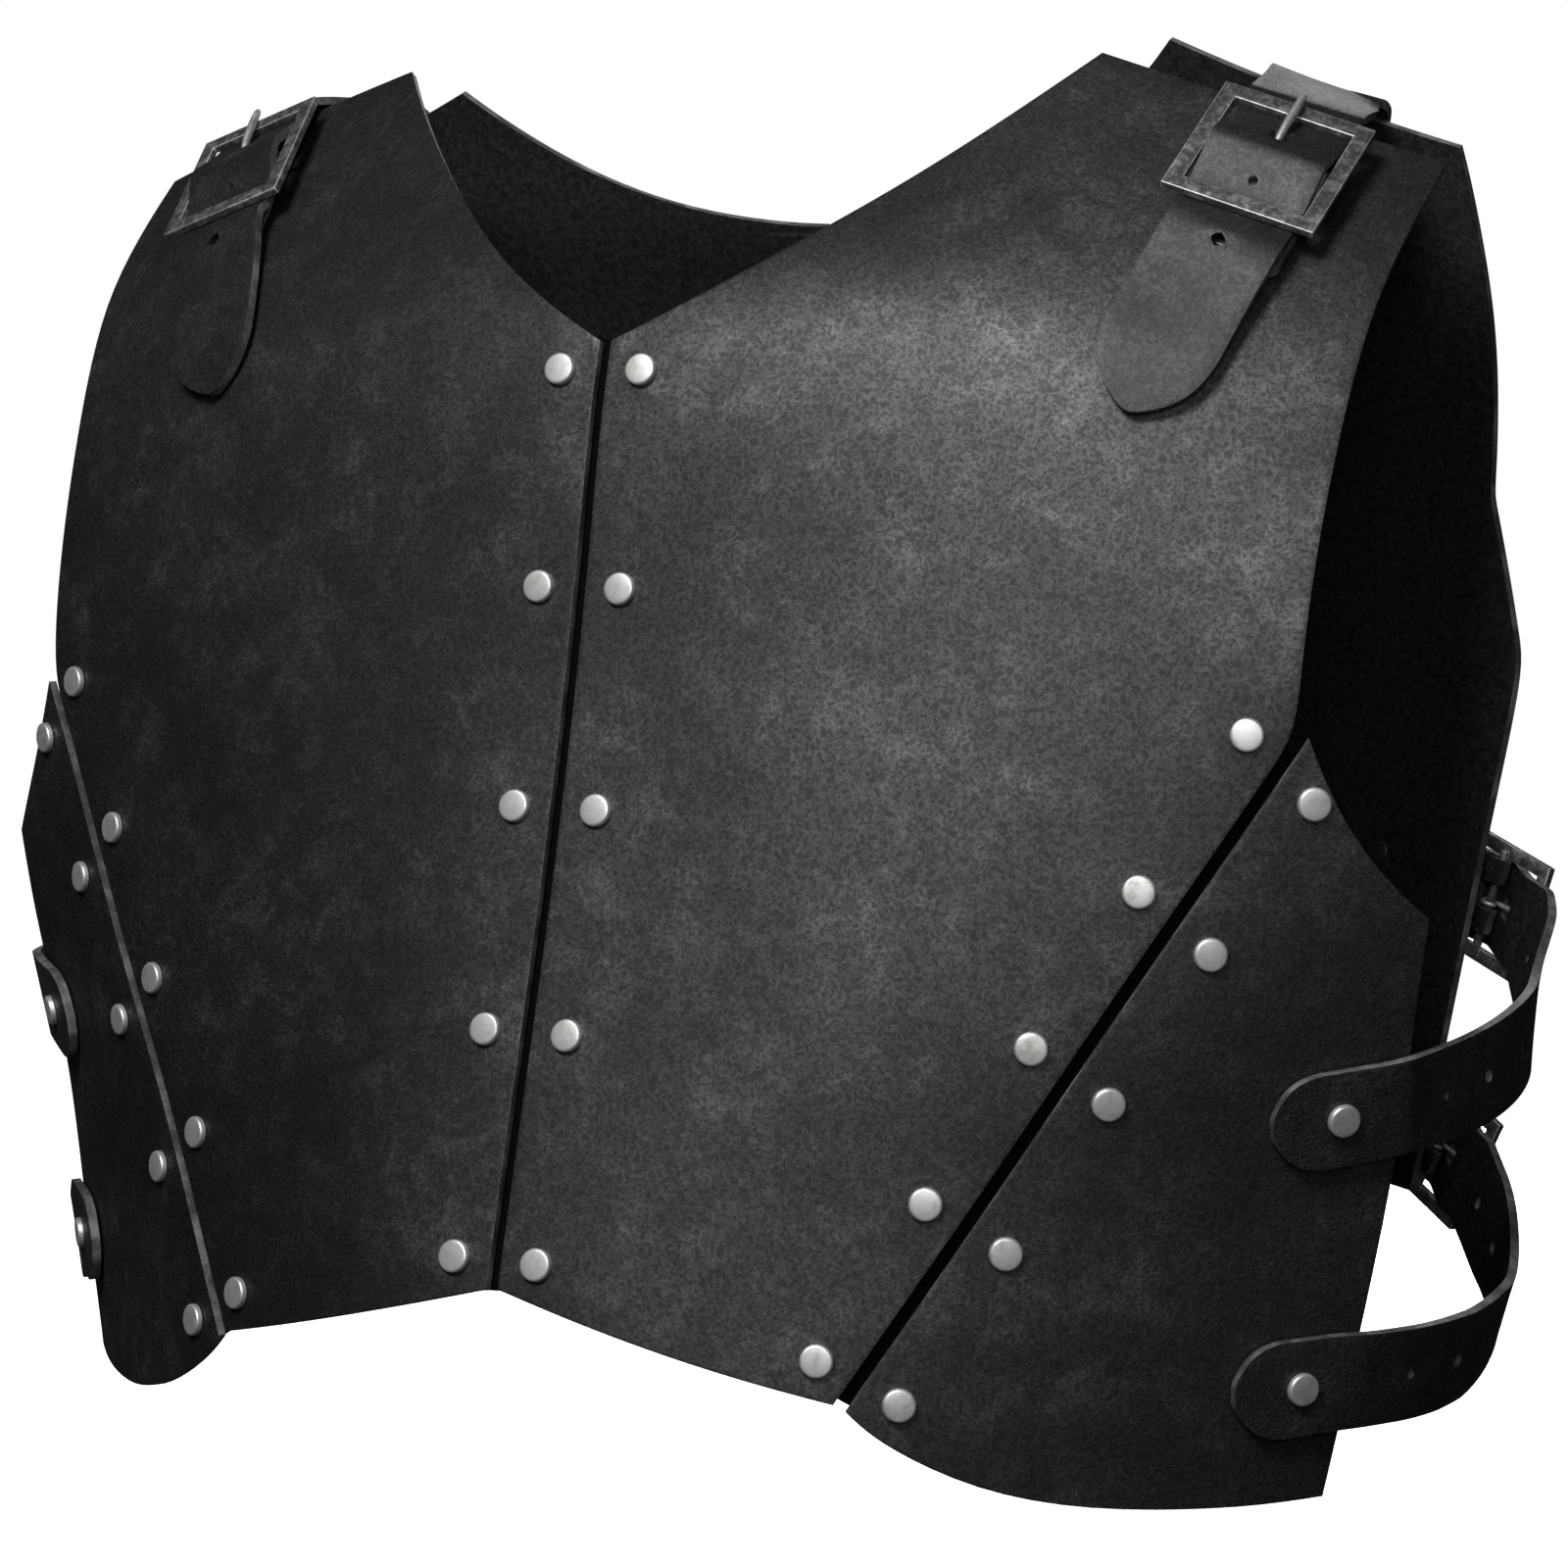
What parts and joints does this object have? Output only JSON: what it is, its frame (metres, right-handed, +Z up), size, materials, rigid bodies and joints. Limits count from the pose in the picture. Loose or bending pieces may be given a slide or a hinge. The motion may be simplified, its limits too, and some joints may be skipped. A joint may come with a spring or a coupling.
{
  "type": "leather chest armour",
  "caption": "Riveted leather torso armour: front and back plates in panels, open at the neck, arms and waist, joined by buckled shoulder and side straps.",
  "frame": {"origin": "on the centre plane, in the middle of the neck opening, at the height where the shoulder straps rest on the wearer", "axes": "+Z up, +X towards the wearer's left, +Y towards the wearer's back; the chest faces -Y"},
  "size_m": [0.4654, 0.2684, 0.3932],
  "materials": {
    "black_leather": "distressed, burnished edges",
    "strap_leather": "smooth, worn",
    "brushed_nickel": "satin",
    "old_silver": "antiqued"
  },
  "bodies": {
    "root": {"chest_panel_left": "black_leather", "side_panel_left": "black_leather", "back_panel_left": "black_leather", "seam_strip_left": "black_leather", "chest_panel_right": "black_leather", "side_panel_right": "black_leather", "back_panel_right": "black_leather", "seam_strip_right": "black_leather", "front_centre_strip": "black_leather", "back_centre_strip": "black_leather", "shoulder_strap_left": "strap_leather", "shoulder_tab_left": "strap_leather", "shoulder_buckle_left": "old_silver", "shoulder_prong_left": "old_silver", "shoulder_strap_rivet_left": "brushed_nickel", "shoulder_tab_rivet_left": "brushed_nickel", "upper_side_strap_left": "strap_leather", "upper_side_tab_left": "strap_leather", "upper_side_buckle_left": "old_silver", "upper_side_prong_left": "old_silver", "upper_side_strap_rivet_left": "brushed_nickel", "upper_side_tab_rivet_left": "brushed_nickel", "lower_side_strap_left": "strap_leather", "lower_side_tab_left": "strap_leather", "lower_side_buckle_left": "old_silver", "lower_side_prong_left": "old_silver", "lower_side_strap_rivet_left": "brushed_nickel", "lower_side_tab_rivet_left": "brushed_nickel", "shoulder_strap_right": "strap_leather", "shoulder_tab_right": "strap_leather", "shoulder_buckle_right": "old_silver", "shoulder_prong_right": "old_silver", "shoulder_strap_rivet_right": "brushed_nickel", "shoulder_tab_rivet_right": "brushed_nickel", "upper_side_strap_right": "strap_leather", "upper_side_tab_right": "strap_leather", "upper_side_buckle_right": "old_silver", "upper_side_prong_right": "old_silver", "upper_side_strap_rivet_right": "brushed_nickel", "upper_side_tab_rivet_right": "brushed_nickel", "lower_side_strap_right": "strap_leather", "lower_side_tab_right": "strap_leather", "lower_side_buckle_right": "old_silver", "lower_side_prong_right": "old_silver", "lower_side_strap_rivet_right": "brushed_nickel", "lower_side_tab_rivet_right": "brushed_nickel"}
  },
  "joints": []
}
